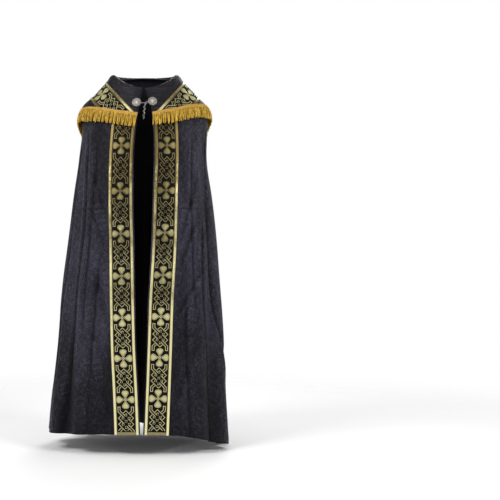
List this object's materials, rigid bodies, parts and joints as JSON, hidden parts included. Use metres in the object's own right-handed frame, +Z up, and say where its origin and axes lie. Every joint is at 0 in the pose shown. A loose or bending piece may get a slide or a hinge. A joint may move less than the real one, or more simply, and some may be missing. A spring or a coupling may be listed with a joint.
{
  "type": "cope vestment",
  "caption": "Full-length open cope as worn: black damask cloak, gold-edged front orphreys, fringed V-backed shoulder cape with a medallion, and a hooked disc clasp",
  "frame": {"origin": "where the wearer's neck and shoulders carry the garment, at the middle of the neckline and level with the top of the neck seam", "axes": "+Z up, the front opening faces -Y, +X is the viewer's right in the front view"},
  "size_m": [0.7516, 0.6309, 1.5055],
  "materials": {
    "black_brocade": "tone-on-tone satin damask",
    "black_galloon": "woven galloon ground",
    "gold_braid": "metallic thread braid",
    "fringe_gold": "twisted bullion strands",
    "tassel_gold": "silky twisted yarn",
    "antique_silver": "antiqued cast metal"
  },
  "bodies": {
    "root": {"cloak": "black_brocade", "shoulder_cape": "black_brocade", "front_orphrey_left": "black_galloon", "front_orphrey_right": "black_galloon", "front_braid_left": "gold_braid", "front_braid_right": "gold_braid", "cape_arm_left": "black_galloon", "cape_arm_right": "black_galloon", "cape_arm_braid_upper_left": "gold_braid", "cape_arm_braid_lower_left": "gold_braid", "cape_arm_braid_upper_right": "gold_braid", "cape_arm_braid_lower_right": "gold_braid", "cape_stem": "black_galloon", "cape_stem_braid_left": "gold_braid", "cape_stem_braid_right": "gold_braid", "cape_medallion": "black_galloon", "medallion_cord": "gold_braid", "cape_fringe": "fringe_gold", "cape_tassel": "tassel_gold", "clasp_disc_left": "antique_silver", "clasp_disc_right": "antique_silver", "clasp_hook": "antique_silver", "clasp_eye": "antique_silver", "clasp_chain_end": "antique_silver"}
  },
  "joints": []
}
